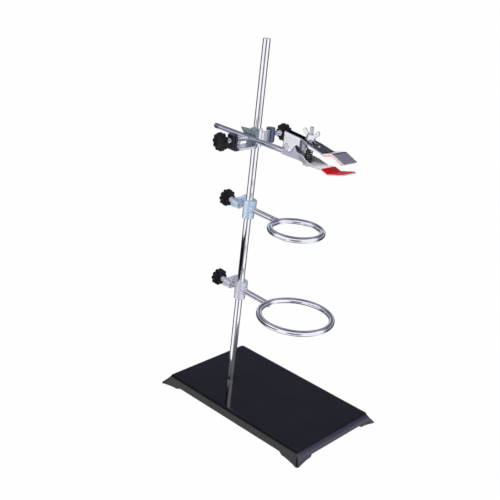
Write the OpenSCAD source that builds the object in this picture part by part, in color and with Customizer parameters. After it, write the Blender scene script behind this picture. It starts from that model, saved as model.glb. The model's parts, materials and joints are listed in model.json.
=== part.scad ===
// Retort stand: weighted base, upright rod, two support rings and a two-jaw flask clamp.
// Millimetres, +Z up. The origin is the middle of the base's footprint on the table.
// +X runs along the base away from the rod, +Y across the base.

/* [Base] */
// Length of the base over its feet
base_l = 210; // [180:1:260]
// Width of the base over its feet
base_w = 136; // [120:1:180]
// Height of the base
base_h = 12; // [11:0.5:18]
// How far the flared skirt spreads on each side
skirt_flare = 7.5; // [4:0.5:10]
// Height of the gap under the skirt between the feet
foot_h = 5; // [3:0.5:6]
// Length of each corner foot along either side
foot_l = 25; // [18:1:35]

/* [Upright rod] */
// Diameter of the rod
rod_d = 8; // [6:0.5:9]
// Height of the rod's free end above the table
rod_top = 405; // [395:1:520]
// Distance of the rod behind the middle of the base
rod_back = 49.5; // [40:0.5:70]
// Distance of the rod to the near side of the middle
rod_side = 10.5; // [0:0.5:20]

/* [Lower ring] */
// Height of the lower ring
low_z = 131; // [100:1:170]
// Inside diameter of the lower ring
low_inner_d = 70.9; // [60:0.1:78]
// Distance from the rod to the middle of the lower ring
low_reach = 87.3; // [80:0.1:110]
// Direction of the lower ring's arm
low_turn = -4.2; // [-30:0.1:30]
// Height of the lower ring above its arm
low_lift = 3.1; // [0:0.1:4]

/* [Upper ring] */
// Height of the upper ring
up_z = 224; // [200:0.5:240]
// Inside diameter of the upper ring
up_inner_d = 48.1; // [40:0.1:60]
// Distance from the rod to the middle of the upper ring
up_reach = 74.1; // [65:0.1:95]
// Direction of the upper ring's arm
up_turn = -5.4; // [-30:0.1:30]
// Thickness of the wire of both rings
wire_d = 6.4; // [4:0.2:6.6]
// Thickness of the arms that carry the rings
bar_d = 6.7; // [4:0.1:7]

/* [Flask clamp] */
// Height of the clamp rod
clamp_z = 303; // [295:0.5:330]
// Direction of the clamp rod
clamp_turn = -3.7; // [-20:0.1:20]
// Diameter of the clamp rod
arm_d = 5.8; // [5:0.1:6]
// Distance from the upright rod's axis to the clamp rod's axis
arm_off = 10; // [9.9:0.1:11]
// Width of the jaws at their lined tips
jaw_w = 20; // [16:1:24]
// Thickness of the jaw sheet
sheet_t = 1; // [0.8:0.1:1.2]
// Thickness of the red linings
lining_t = 2; // [1:0.25:2.5]

/* [Hidden] */
$fn = 48;
hull_fn = 32;
running = 0.05;        // radial running clearance
touch = 0.02;          // gap between parts that bear on each other
chamfer = 0.8;

base_top_l = base_l - 2 * skirt_flare;
base_top_w = base_w - 2 * skirt_flare;
foot_corner_r = 6;
top_corner_r = 3;
edge_roll = 2;
roll_h = 1.6;
wall_t = 2.5;
top_t = 3;
rod_x = -rod_back;
rod_y = -rod_side;
rod_r = rod_d / 2;
stud_r = 3;
washer_t = 1.6;
nut_h = 4.6;
nut_af = 10;

screw_r = 2.5;
collar_r = 3;
collar_l = 4;
knob_r = 9.6;
knob_t = 6;
knob_dome = 1.2;
knob_lobe_r = 2.1;
knob_core_r = 7.9;
knob_lobes = 10;
knob_grip = 4.5;       // depth of the screw inside the knob

shell_r = rod_r + 2.8;
shell_in = rod_r + 0.1;
shell_back = -2.5;     // the shell is open behind this line
shell_low = -11;
shell_high = 9.3;
wall_r = rod_r + 4.2;
wall_low = -0.5;
wall_bend = -16;       // from here the wall slopes down to the lug
lug_end = 24.4;
lug_tip = 14;
lug_r = 5.7;
lug_tip_r = 4.5;
lug_w = 9.4;
lug_z = -1.2;
ring_screw_z = 0.3;
ring_knob_at = 33.4;   // knob's inner face, from the rod's axis
stub_r = 4.2;
stub_l = 2.5;
bar_r = bar_d / 2;
wire_r = wire_d / 2;
low_r = low_inner_d / 2 + wire_r;
up_r = up_inner_d / 2 + wire_r;

saddle_r = 7.2;
saddle_back = -2.5;     // the saddle is open behind this line
saddle_low = -9.5;
saddle_high = 10.2;
plate_h = 12;
grip_z = 1;            // the upright rod's screw sits above the clamp rod
boss_lug_r = 4.8;
boss_lug_h = 15.5;
rod_lug_v = 20.5;
rod_knob_v = 38.2;
arm_lug_v = -33.5;
arm_knob_v = -47;
floor_z = -7.6;
floor_t = 2.6;
floor_w = 14;
floor_rim = 9;
end_t = 2.4;
end_h = 15.4;
wing_t = 2.8;

arm_r = arm_d / 2;
arm_rear = -53.5;
arm_front = 72;
hinge_u = 58.4;
hinge_z = 7.4;
pin_r = 1.6;
low_half = 4.1;
up_half = 5.3;
low_flare = 76;        // from here each jaw widens to its tip
up_flare = 84;
bolt_u = 84.3;
bolt_r = 2;
bolt_top = 33;
web_z = 19.3;          // top of the upper jaw beside the bolt
nut_gap = 0.8;         // room under the nut for the jaw to tilt in
spring_r = 4;
spring_t = 0.9;

low_path = [[52, -3], [91, -3], [111, -1.8], [119.3, -4.4], [138, 0.4]];
up_path = [[53.5, 21.6], [82, web_z], [109, 14], [122, 17.3], [136.6, 11.4]];

// ---- placing ----

module on_rod(z, turn) {
    translate([rod_x, rod_y, z])
        rotate([0, 0, turn])
            children();
}

module on_clamp() {
    on_rod(clamp_z, clamp_turn)
        translate([0, -arm_off, 0])
            children();
}

// a side view drawn in length and height, spread evenly to both sides
module side_view(pts, w) {
    rotate([90, 0, 0])
        linear_extrude(w, center = true)
            polygon(pts);
}

// ---- base ----

module rounded_slab(l, w, r, h) {
    for (x = [-1, 1], y = [-1, 1])
        translate([x * (l / 2 - r), y * (w / 2 - r), 0])
            cylinder(r = r, h = h, $fn = hull_fn);
}

module base_outside() {
    hull() {
        rounded_slab(base_l, base_w, foot_corner_r, 0.01);
        translate([0, 0, base_h - roll_h])
            rounded_slab(base_top_l + edge_roll, base_top_w + edge_roll, top_corner_r + edge_roll / 2, 0.01);
        translate([0, 0, base_h - 0.01])
            rounded_slab(base_top_l - edge_roll, base_top_w - edge_roll, top_corner_r, 0.01);
    }
}

// the gap between two feet, with sloping ends
module skirt_gap(l) {
    side_view([[-l / 2, -1], [-l / 2, 1], [-l / 2 + 3.5, foot_h], [l / 2 - 3.5, foot_h], [l / 2, 1], [l / 2, -1]],
              base_l + 20);
}

module base_plate() {
    color([0.03, 0.03, 0.04])
    difference() {
        base_outside();
        intersection() {
            translate([0, 0, -top_t])
                scale([1 - 2 * wall_t / base_l, 1 - 2 * wall_t / base_w, 1])
                    base_outside();
            cube([base_l, base_w, 2 * (base_h - top_t)], center = true);
        }
        skirt_gap(base_l - 2 * foot_l);
        rotate([0, 0, 90])
            skirt_gap(base_w - 2 * foot_l);
        translate([rod_x, rod_y, 0])
            cylinder(r = stud_r + touch, h = base_h + 1);
    }
}

module support_rod() {
    color([0.85, 0.86, 0.88])
    translate([rod_x, rod_y, 0]) {
        translate([0, 0, base_h])
            cylinder(r = rod_r, h = rod_top - base_h - chamfer);
        translate([0, 0, rod_top - chamfer])
            cylinder(r1 = rod_r, r2 = rod_r - chamfer, h = chamfer);
        translate([0, 0, base_h - top_t - washer_t - nut_h])
            cylinder(r = stud_r, h = top_t + washer_t + nut_h);
    }
}

module rod_washer() {
    color([0.7, 0.7, 0.72])
    translate([rod_x, rod_y, base_h - top_t - washer_t])
        difference() {
            cylinder(r = 7, h = washer_t - touch);
            translate([0, 0, -1])
                cylinder(r = stud_r + touch, h = washer_t + 2);
        }
}

module rod_nut() {
    color([0.7, 0.7, 0.72])
    translate([rod_x, rod_y, base_h - top_t - washer_t - nut_h])
        difference() {
            cylinder(r = nut_af / 2 / cos(30), h = nut_h - touch, $fn = 6);
            translate([0, 0, -1])
                cylinder(r = stud_r + touch, h = nut_h + 2);
        }
}

// ---- thumb screws, drawn along +Z from the tip ----

module thumb_screw(len) {
    color([0.8, 0.81, 0.83]) {
        cylinder(r1 = screw_r - chamfer, r2 = screw_r, h = chamfer);
        translate([0, 0, chamfer])
            cylinder(r = screw_r, h = len + knob_grip - chamfer);
        translate([0, 0, len - collar_l])
            cylinder(r = collar_r, h = collar_l - touch);
    }
}

module star_knob() {
    color([0.04, 0.04, 0.045])
    difference() {
        union() {
            linear_extrude(knob_t) {
                circle(r = knob_core_r);
                for (i = [0 : knob_lobes - 1])
                    rotate([0, 0, i * 360 / knob_lobes])
                        translate([knob_r - knob_lobe_r, 0])
                            circle(r = knob_lobe_r);
            }
            translate([0, 0, knob_t])
                cylinder(r1 = knob_core_r - 1, r2 = knob_core_r - 3, h = knob_dome);
        }
        translate([0, 0, -1])
            cylinder(r = screw_r + running, h = 1 + knob_grip + touch);
    }
}

// ---- support rings, drawn about the rod with the arm along +X ----

module ring_boss() {
    color([0.72, 0.75, 0.8])
    difference() {
        union() {
            // shell on the ring's side of the rod
            intersection() {
                translate([0, 0, shell_low])
                    cylinder(r = shell_r, h = shell_high - shell_low);
                translate([shell_back, -20, shell_low])
                    cube([40, 40, shell_high - shell_low]);
            }
            // thicker upper half on the far side of the rod
            intersection() {
                translate([0, 0, wall_low])
                    cylinder(r = wall_r, h = shell_high - wall_low);
                translate([shell_back - 4, 1, wall_low])
                    cube([20, 20, shell_high - wall_low]);
            }
            // wall that runs back from it to the lug
            intersection() {
                translate([0, 0, shell_low])
                    linear_extrude(shell_high - shell_low)
                        polygon([[0, wall_r], [wall_bend, wall_r - 0.4], [-lug_end, 4], [-lug_end, 1.5],
                                 [wall_bend, shell_in + 0.9], [0, shell_in + 0.9]]);
                side_view([[1, wall_low], [1, shell_high], [wall_bend, shell_high], [-lug_end, 3.4],
                           [-lug_end, -6], [-lug_tip, -5], [-6, wall_low]], 40);
            }
            // lug that carries the screw
            intersection() {
                translate([-lug_end, 0, lug_z])
                    rotate([0, 90, 0])
                        cylinder(r1 = lug_r, r2 = lug_tip_r, h = lug_end - lug_tip);
                translate([-lug_end, -lug_w / 2, -20])
                    cube([lug_end, lug_w, 40]);
            }
            // stub that holds the arm
            rotate([0, 90, 0])
                cylinder(r = stub_r, h = shell_r + stub_l);
        }
        translate([0, 0, shell_low - 1])
            cylinder(r = shell_in, h = shell_high - shell_low + 2);
        translate([-lug_end - 1, 0, ring_screw_z])
            rotate([0, 90, 0])
                cylinder(r = screw_r + running, h = lug_end);
        rotate([0, 90, 0])
            cylinder(r = bar_r, h = shell_r + stub_l + 1);
    }
}

module ring_arm(reach, r, lift) {
    color([0.78, 0.79, 0.82])
    difference() {
        translate([shell_in, 0, 0])
            rotate([0, 90, 0])
                cylinder(r = bar_r - touch / 2, h = reach - r - shell_in);
        translate([0, 0, -10])
            cylinder(r = shell_in + 0.3, h = 20);
        translate([reach, 0, lift])
            rotate_extrude()
                translate([r, 0])
                    circle(r = wire_r + touch);
    }
}

module wire_ring(reach, r) {
    color([0.82, 0.83, 0.86])
    translate([reach, 0, 0])
        rotate_extrude()
            translate([r, 0])
                circle(r = wire_r);
}

module ring_screw() {
    translate([-rod_r - touch, 0, ring_screw_z])
        rotate([0, -90, 0])
            thumb_screw(ring_knob_at - rod_r - touch);
}

module ring_knob() {
    translate([-ring_knob_at, 0, ring_screw_z])
        rotate([0, -90, 0])
            star_knob();
}

module lower_ring_boss() {
    on_rod(low_z - low_lift, low_turn) ring_boss();
}

module lower_ring_arm() {
    on_rod(low_z - low_lift, low_turn) ring_arm(low_reach, low_r, low_lift);
}

module lower_ring() {
    on_rod(low_z, low_turn) wire_ring(low_reach, low_r);
}

module lower_ring_screw() {
    on_rod(low_z - low_lift, low_turn) ring_screw();
}

module lower_ring_knob() {
    on_rod(low_z - low_lift, low_turn) ring_knob();
}

module upper_ring_boss() {
    on_rod(up_z, up_turn) ring_boss();
}

module upper_ring_arm() {
    on_rod(up_z, up_turn) ring_arm(up_reach, up_r, 0);
}

module upper_ring() {
    on_rod(up_z, up_turn) wire_ring(up_reach, up_r);
}

module upper_ring_screw() {
    on_rod(up_z, up_turn) ring_screw();
}

module upper_ring_knob() {
    on_rod(up_z, up_turn) ring_knob();
}

// ---- boss head, drawn about the upright rod with the clamp rod along +X ----

module boss_lug(v, z) {
    translate([0, v, z - boss_lug_h / 2])
        cylinder(r = boss_lug_r, h = boss_lug_h);
}

module boss_head_body() {
    color([0.74, 0.76, 0.79])
    on_rod(clamp_z, clamp_turn)
    difference() {
        union() {
            // saddle in front of the upright rod
            intersection() {
                translate([0, 0, saddle_low])
                    cylinder(r = saddle_r, h = saddle_high - saddle_low);
                translate([saddle_back, -20, saddle_low])
                    cube([30, 22, saddle_high - saddle_low]);
            }
            // side plate that turns in from the saddle to the upright rod's screw
            translate([0, 0, grip_z - plate_h / 2])
                linear_extrude(plate_h)
                    polygon([[6.4, -1], [7.4, 3], [7, 9], [4.2, 17], [1, 19], [1, 17], [4.6, 7], [3.6, -1]]);
            boss_lug(rod_lug_v, 0.3);
            // wing that backs the clamp rod
            rotate([90, 0, 0])
                translate([0, 0, arm_off - arm_r - wing_t])
                    linear_extrude(wing_t - touch)
                        polygon([[-18, 7.2], [-2, 8.4], [7, 8.4], [7, floor_z], [-7, floor_z], [-9, -1], [-12, 1.6]]);
            // floor that runs under the clamp rod to its screw, with a rim at the back
            translate([-floor_w / 2, arm_lug_v, floor_z - floor_t])
                cube([floor_w, -arm_lug_v - 4.5, floor_t]);
            translate([-floor_w / 2, arm_lug_v, floor_z - 0.1])
                cube([1.8, -arm_lug_v - arm_off - arm_r - 4, floor_rim]);
            // end plate with its lug
            translate([-floor_w / 2, arm_lug_v - end_t / 2, floor_z - floor_t])
                cube([floor_w, end_t, end_h]);
            boss_lug(arm_lug_v, -0.8);
        }
        // way for the upright rod
        translate([0, 0, -50])
            cylinder(r = rod_r + 0.1, h = 100);
        // way for the clamp rod
        translate([-50, -arm_off, 0])
            rotate([0, 90, 0])
                cylinder(r = arm_r + touch, h = 100);
        // upright rod's screw
        translate([0, 0, grip_z])
            rotate([-90, 0, 0])
                cylinder(r = screw_r + running, h = 60);
        // clamp rod's screw
        translate([0, -arm_off - arm_r, 0])
            rotate([90, 0, 0])
                cylinder(r = screw_r + running, h = 60);
    }
}

module rod_grip_screw() {
    on_rod(clamp_z, clamp_turn)
        translate([0, rod_r + touch, grip_z])
            rotate([-90, 0, 0])
                thumb_screw(rod_knob_v - rod_r - touch);
}

module rod_grip_knob() {
    on_rod(clamp_z, clamp_turn)
        translate([0, rod_knob_v, grip_z])
            rotate([-90, 0, 0])
                star_knob();
}

module arm_grip_screw() {
    on_rod(clamp_z, clamp_turn)
        translate([0, -arm_off - arm_r - touch, 0])
            rotate([90, 0, 0])
                thumb_screw(-arm_knob_v - arm_off - arm_r - touch);
}

module arm_grip_knob() {
    on_rod(clamp_z, clamp_turn)
        translate([0, arm_knob_v, 0])
            rotate([90, 0, 0])
                star_knob();
}

// ---- flask clamp, drawn about the clamp rod ----

module clamp_rod() {
    color([0.75, 0.76, 0.8])
    on_clamp()
        translate([arm_rear, 0, 0])
            rotate([0, 90, 0]) {
                cylinder(r1 = arm_r - 0.5, r2 = arm_r, h = 0.5);
                translate([0, 0, 0.5])
                    cylinder(r = arm_r, h = arm_front - arm_rear - 0.5);
            }
}

// sheet that follows a path, measured down from its upper face
function sheet(path, t) = concat(path, [for (i = [len(path) - 1 : -1 : 0]) [path[i][0], path[i][1] - t]]);

// plan of a jaw: a narrow channel that widens to the lined tip
function jaw_plan(half, x0, flare, x1, inset) = [
    [x0, half - inset], [flare, half - inset], [92, jaw_w / 2 - inset], [x1, jaw_w / 2 - inset],
    [x1, inset - jaw_w / 2], [92, inset - jaw_w / 2], [flare, inset - half], [x0, inset - half]
];

module jaw_block(half, x0, flare, x1, inset) {
    translate([0, 0, -30])
        linear_extrude(80)
            polygon(jaw_plan(half, x0, flare, x1, inset));
}

module jaw(path, sides, half, flare, end) {
    intersection() {
        jaw_block(half, path[0][0], flare, end, 0);
        union() {
            side_view(sheet(path, sheet_t), 60);
            difference() {
                side_view(sides, 60);
                jaw_block(half, 0, flare, 200, sheet_t);
            }
        }
    }
}

module hinge_hole(r) {
    translate([hinge_u, 30, hinge_z])
        rotate([90, 0, 0])
            cylinder(r = r, h = 60);
}

module lower_jaw() {
    color([0.72, 0.73, 0.76])
    on_clamp()
    difference() {
        jaw(low_path,
            [[52, -4], [52, 6], [54, 10.6], [57, 12.2], [62, 12.2], [68, 10.4], [72, 4.6], [84, 3.6], [93, 1.2],
             [108, -2.4], [108, -3.4], [91, -4]],
            low_half, low_flare, 138);
        hinge_hole(pin_r + touch);
        translate([bolt_u, 0, -10])
            cylinder(r = bolt_r + touch, h = 20);
    }
}

module upper_jaw() {
    color([0.74, 0.75, 0.78])
    on_clamp()
    difference() {
        jaw(up_path,
            [[53.5, 21.4], [53.5, 5.4], [56.2, 2.8], [61.4, 2.6], [65, 4.2], [67.6, 9], [71.2, 12], [75, 10.6],
             [78, 8.6], [85.8, 7.8], [89, 15.4], [98, 13.4], [108, 12], [109, 13.8], [82, 19.1]],
            up_half, up_flare, 136.6);
        hinge_hole(pin_r + running);
        // slot that lets the bolt lean as the jaw tilts
        linear_extrude(40)
            polygon([[bolt_u - 3.6, -3.1], [bolt_u + 12, -3.1], [bolt_u + 13.5, 0], [bolt_u + 12, 3.1],
                     [bolt_u - 3.6, 3.1]]);
    }
}

module lining(path, x0, x1, lift) {
    color([0.72, 0.04, 0.06])
    on_clamp()
    intersection() {
        translate([x0, -jaw_w / 2, -30])
            cube([x1 - x0, jaw_w, 80]);
        translate([0, 0, lift])
            side_view(sheet(path, lining_t), 60);
    }
}

module lower_jaw_lining() {
    lining(low_path, 111, 136.8, lining_t + touch);
}

module upper_jaw_lining() {
    lining(up_path, 110, 134.8, -sheet_t - touch);
}

module jaw_hinge_pin() {
    color([0.78, 0.78, 0.8])
    on_clamp()
        translate([hinge_u, 0, hinge_z])
            rotate([90, 0, 0]) {
                cylinder(r = pin_r, h = 2 * up_half + 0.4, center = true);
                for (s = [-1, 1])
                    translate([0, 0, s * (up_half + 0.6)])
                        cylinder(r = 2.9, h = 0.9, center = true);
            }
}

module jaw_bolt() {
    color([0.8, 0.8, 0.82])
    on_clamp()
        translate([bolt_u, 0, 0]) {
            translate([0, 0, -5])
                cylinder(r = bolt_r, h = bolt_top + 5);
            translate([0, 0, -4 - touch - 2.6])
                difference() {
                    translate([0, 0, 2.6])
                        sphere(r = 4.6);
                    translate([-9, -9, 2.6])
                        cube([18, 18, 9]);
                    translate([-9, -9, -9])
                        cube([18, 18, 9]);
                }
        }
}

module jaw_spring() {
    color([0.05, 0.05, 0.06])
    on_clamp()
        translate([bolt_u, 0, low_path[0][1] + touch])
            difference() {
                cylinder(r = spring_r, h = web_z - sheet_t - low_path[0][1] - 1.4);
                translate([0, 0, -1])
                    cylinder(r = spring_r - spring_t, h = 40);
            }
}

module nut_washer() {
    color([0.8, 0.8, 0.82])
    on_clamp()
        translate([bolt_u, 0, web_z + nut_gap])
            difference() {
                cylinder(r = 5.2, h = 0.8);
                translate([0, 0, -1])
                    cylinder(r = bolt_r + running, h = 3);
            }
}

module wing_nut() {
    color([0.84, 0.85, 0.87])
    on_clamp()
        translate([bolt_u, 0, web_z + nut_gap + 0.8 + touch])
            difference() {
                union() {
                    cylinder(r1 = 4.8, r2 = 3.4, h = 4.6);
                    for (turn = [4, 184])
                        rotate([0, 0, turn])
                            side_view([[2.5, 0.4], [4, 0.4], [8.6, 4.6], [10.2, 7], [9.6, 8.9], [7.6, 9.4],
                                       [5.6, 7.6], [2.5, 3.6]], 1.6);
                }
                translate([0, 0, -1])
                    cylinder(r = bolt_r + running, h = 20);
            }
}

base_plate();
support_rod();
rod_washer();
rod_nut();
lower_ring_boss();
lower_ring_arm();
lower_ring();
lower_ring_screw();
lower_ring_knob();
upper_ring_boss();
upper_ring_arm();
upper_ring();
upper_ring_screw();
upper_ring_knob();
boss_head_body();
rod_grip_screw();
rod_grip_knob();
arm_grip_screw();
arm_grip_knob();
clamp_rod();
lower_jaw();
lower_jaw_lining();
jaw_hinge_pin();
jaw_bolt();
jaw_spring();
upper_jaw();
upper_jaw_lining();
nut_washer();
wing_nut();
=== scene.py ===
import json
import math
import bmesh
import bpy
from mathutils import Matrix, Vector

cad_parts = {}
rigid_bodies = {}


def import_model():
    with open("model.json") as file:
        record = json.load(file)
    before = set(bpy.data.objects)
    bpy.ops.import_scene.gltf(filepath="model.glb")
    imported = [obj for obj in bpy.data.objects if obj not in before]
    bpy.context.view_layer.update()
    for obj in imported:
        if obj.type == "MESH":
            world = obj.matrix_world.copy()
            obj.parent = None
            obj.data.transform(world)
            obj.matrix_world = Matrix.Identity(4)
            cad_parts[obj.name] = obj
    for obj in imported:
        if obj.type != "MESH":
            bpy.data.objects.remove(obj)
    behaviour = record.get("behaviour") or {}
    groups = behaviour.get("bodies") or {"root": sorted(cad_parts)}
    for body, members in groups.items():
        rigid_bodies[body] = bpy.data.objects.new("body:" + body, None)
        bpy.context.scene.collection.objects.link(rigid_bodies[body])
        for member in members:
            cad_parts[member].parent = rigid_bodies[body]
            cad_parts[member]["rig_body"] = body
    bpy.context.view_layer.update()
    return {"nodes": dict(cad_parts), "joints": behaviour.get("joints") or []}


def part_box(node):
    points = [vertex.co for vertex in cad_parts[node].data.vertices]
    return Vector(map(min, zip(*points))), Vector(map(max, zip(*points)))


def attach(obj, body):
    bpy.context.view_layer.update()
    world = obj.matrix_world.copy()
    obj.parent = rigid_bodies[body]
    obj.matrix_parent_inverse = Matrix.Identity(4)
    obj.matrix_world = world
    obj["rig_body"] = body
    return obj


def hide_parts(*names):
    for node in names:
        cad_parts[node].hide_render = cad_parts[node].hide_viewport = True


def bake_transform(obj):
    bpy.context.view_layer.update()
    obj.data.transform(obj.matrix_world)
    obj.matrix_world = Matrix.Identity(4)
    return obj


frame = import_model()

# Retort stand. Each piece is drawn in millimetres around the thing it belongs to, such as the
# rod or the clamp, and a matrix takes those millimetres to the frame's metres.
MM = 0.001
TAU = 2 * math.pi

# ---------------------------------------------------------------- places from the frame

joints = {j["name"]: j for j in frame["joints"]}


def placed(origin, along):
    """Matrix from local millimetres (x along, y across, z up) to metres."""
    x = Vector((along[0], along[1], 0)).normalized()
    z = Vector((0, 0, 1))
    y = z.cross(x)
    m = Matrix((x * MM, y * MM, z * MM)).transposed().to_4x4()
    m.translation = origin
    return m


def middle(node):
    low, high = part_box(node)
    return (low + high) / 2


def turned_to(place, at, axis):
    """Local frame whose z is the given local axis, at a local point."""
    quat = Vector(axis).to_track_quat("Z", "Y")
    return place @ Matrix.Translation(Vector(at)) @ quat.to_matrix().to_4x4()


rod_mid = middle("support_rod")
rod_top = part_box("support_rod")[1].z / MM
base_low, base_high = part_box("base_plate")
base_h = base_high.z / MM
stand_at = placed(Vector((rod_mid.x, rod_mid.y, 0)), (1, 0, 0))
base_at = placed(Vector((0, 0, 0)), (1, 0, 0))

clamp_axis = joints["clamp_rod_slide"]["axis"]
clamp_at = placed(Vector(joints["clamp_turn"]["pos_m"]), clamp_axis)
boss_at = placed(Vector((rod_mid.x, rod_mid.y, clamp_at.translation.z)), clamp_axis)


def ring_at(which):
    outward = Vector(joints[which + "_ring_travel"]["axis"])
    height = middle(which + "_ring_arm").z
    return placed(Vector((rod_mid.x, rod_mid.y, height)), -outward)


def local(place, node):
    """Lowest and highest corner of a CAD node's own points in a local frame."""
    back = place.inverted()
    points = [back @ v.co for v in frame["nodes"][node].data.vertices]
    low = Vector([min(p[i] for p in points) for i in range(3)])
    high = Vector([max(p[i] for p in points) for i in range(3)])
    return low, high


# ---------------------------------------------------------------- material helpers


class Nodes:
    """A node tree with a short way to add and link nodes."""

    def __init__(self, tree):
        self.tree = tree
        tree.nodes.clear()

    def add(self, kind, props=None, **inputs):
        """Adds a node. An input is given by its name, with _ for a space, or by its place as i0, i1."""
        node = self.tree.nodes.new("ShaderNode" + kind)
        for key, value in (props or {}).items():
            setattr(node, key, value)
        for key, value in inputs.items():
            by_place = key[0] == "i" and key[1:].isdigit()
            self.set(node.inputs[int(key[1:]) if by_place else key.replace("_", " ")], value)
        return node

    def set(self, socket, value):
        if isinstance(value, bpy.types.NodeSocket):
            self.tree.links.new(value, socket)
        else:
            socket.default_value = value

    def ramp(self, fac, *stops):
        node = self.add("ValToRGB", Fac=fac)
        elements = node.color_ramp.elements
        while len(elements) < len(stops):
            elements.new(0.5)
        for element, (at, colour) in zip(elements, stops):
            grey = isinstance(colour, (int, float))
            element.position = at
            element.color = (colour, colour, colour, 1) if grey else (*colour, 1)
        return node.outputs["Color"]

    def spread(self, fac, low, high, out_low=0.0, out_high=1.0):
        node = self.add("MapRange", {"clamp": True}, i0=fac, i1=low, i2=high, i3=out_low, i4=out_high)
        return node.outputs["Result"]

    def math(self, kind, a, b):
        return self.add("Math", {"operation": kind}, i0=a, i1=b).outputs[0]

    def mix(self, fac, a, b):
        a, b = [c if isinstance(c, bpy.types.NodeSocket) else (*c, 1) for c in (a, b)]
        return self.add("MixRGB", i0=fac, i1=a, i2=b).outputs[0]


class Shader(Nodes):
    """A material's node tree, with the textures the pieces share."""

    def __init__(self, name):
        self.material = bpy.data.materials.new(name)
        self.material.use_nodes = True
        super().__init__(self.material.node_tree)
        self.out = self.add("OutputMaterial")
        self.coords = self.add("TexCoord").outputs["Object"]

    def at(self):
        """The point's own X, Y and Z."""
        return self.add("SeparateXYZ", Vector=self.coords).outputs

    def facing(self):
        """X, Y and Z of the direction the surface faces."""
        return self.add("SeparateXYZ", Vector=self.add("NewGeometry").outputs["Normal"]).outputs

    def stretched(self, scale, turn=(0, 0, 0)):
        return self.add("Mapping", Vector=self.coords, Scale=scale, Rotation=turn).outputs["Vector"]

    def noise(self, scale, detail, rough, vector=None):
        inputs = {"Scale": scale, "Detail": detail, "Roughness": rough}
        return self.add("TexNoise", Vector=vector or self.coords, **inputs).outputs["Fac"]

    def cells(self, scale, vector=None):
        return self.add("TexVoronoi", Vector=vector or self.coords, Scale=scale).outputs["Distance"]

    def bump(self, height, depth, normal=None):
        node = self.add("Bump", Height=height, Distance=depth, Strength=1.0)
        if normal:
            self.set(node.inputs["Normal"], normal)
        return node.outputs["Normal"]

    def edges(self, low=0.5, high=0.56):
        return self.spread(self.add("NewGeometry").outputs["Pointiness"], low, high)

    def surface(self, node):
        self.set(self.out.inputs["Surface"], node.outputs[0])
        return self.material

    def finish(self, **inputs):
        return self.surface(self.add("BsdfPrincipled", **inputs))


def bright_plate(name, tint, dull, lines, rough=0.05):
    """Chrome or nickel plate over a drawn surface: faint lines one way, specks and smears."""
    s = Shader(name)
    drawn = s.noise(2600.0, 3.0, 0.6, s.stretched(lines))
    smear = s.noise(55.0, 5.0, 0.6)
    specks = s.ramp(s.cells(420.0), (0.0, 1.0), (0.06, 0.35), (0.13, 0.0))
    colour = s.mix(s.spread(smear, 0.35, 0.75), tint, dull)
    colour = s.mix(s.math("MULTIPLY", specks, 0.18), colour, (0.28, 0.27, 0.26))
    roughness = s.spread(smear, 0.3, 0.8, rough, rough + 0.07)
    roughness = s.math("ADD", roughness, s.spread(drawn, 0.3, 0.8, 0.0, 0.04))
    normal = s.bump(drawn, 0.0000006)
    normal = s.bump(specks, -0.000002, normal)
    return s.finish(Base_Color=colour, Metallic=1.0, Roughness=roughness, Normal=normal)


def cast_plate(name, tint, dark, rough=0.42, painted_reflections=()):
    """Bright-plated zinc casting: uneven skin, pits, rubbed edges. Each of the listed painted reflections
    takes over the colour between two distances across the stand, given in millimetres."""
    s = Shader(name)
    skin = s.noise(330.0, 6.0, 0.62)
    lumps = s.noise(95.0, 3.0, 0.5)
    pits = s.ramp(s.cells(520.0), (0.0, 1.0), (0.1, 0.25), (0.2, 0.0))
    pits = s.math("MULTIPLY", pits, s.spread(lumps, 0.45, 0.65))
    colour = s.mix(s.spread(skin, 0.36, 0.7), tint, dark)
    colour = s.mix(s.math("MULTIPLY", pits, 0.4), colour, (0.16, 0.17, 0.2))
    # painted reflections: each band across the stand takes its own colour
    for start, full, shade in painted_reflections:
        colour = s.mix(s.spread(s.at()["Y"], start * MM, full * MM), colour, shade)
    colour = s.mix(s.math("MULTIPLY", s.edges(), 0.12), colour, (0.9, 0.92, 0.95))
    roughness = s.spread(skin, 0.3, 0.75, rough, rough + 0.16)
    normal = s.bump(skin, 0.00002)
    normal = s.bump(lumps, 0.00008, normal)
    normal = s.bump(pits, -0.000006, normal)
    return s.finish(Base_Color=colour, Metallic=0.88, Roughness=roughness, Normal=normal)


def pressed_sheet(name, tint, dull, turn, flat, metal):
    """Plated sheet: polishing lines one way, long scratches, a few dull patches. flat gives the
    steepness where level faces start, where they are complete, and the colour of the painted light and shade
    on them, which also tints their reflection."""
    s = Shader(name)
    lines = s.noise(1500.0, 3.0, 0.7, s.stretched((0.05, 1.0, 1.0), turn))
    cloud = s.noise(120.0, 5.0, 0.6)
    long = s.stretched((0.035, 1.0, 0.6), (turn[0], turn[1], turn[2] + 0.6))
    scratch = s.ramp(s.cells(900.0, long), (0.0, 1.0), (0.04, 0.3), (0.08, 0.0))
    colour = s.mix(s.spread(cloud, 0.38, 0.72), tint, dull)
    colour = s.mix(s.math("MULTIPLY", scratch, 0.35), colour, (0.35, 0.35, 0.38))
    colour = s.mix(s.math("MULTIPLY", s.edges(), 0.4), colour, (0.93, 0.94, 0.96))
    # painted light and shade: faces that look up take their own colour and reflection tint
    start, full, shade = flat
    level = s.spread(s.facing()["Z"], start, full)
    colour = s.mix(level, colour, shade)
    glance = s.mix(level, (1, 1, 1), shade)
    roughness = s.spread(cloud, 0.3, 0.8, 0.12, 0.26)
    roughness = s.math("ADD", roughness, s.spread(lines, 0.3, 0.8, 0.0, 0.08))
    normal = s.bump(lines, 0.0000015)
    normal = s.bump(scratch, -0.0000004, normal)
    return s.finish(Base_Color=colour, Metallic=metal, Roughness=roughness, Specular_Tint=glance,
                    Normal=normal)


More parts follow.
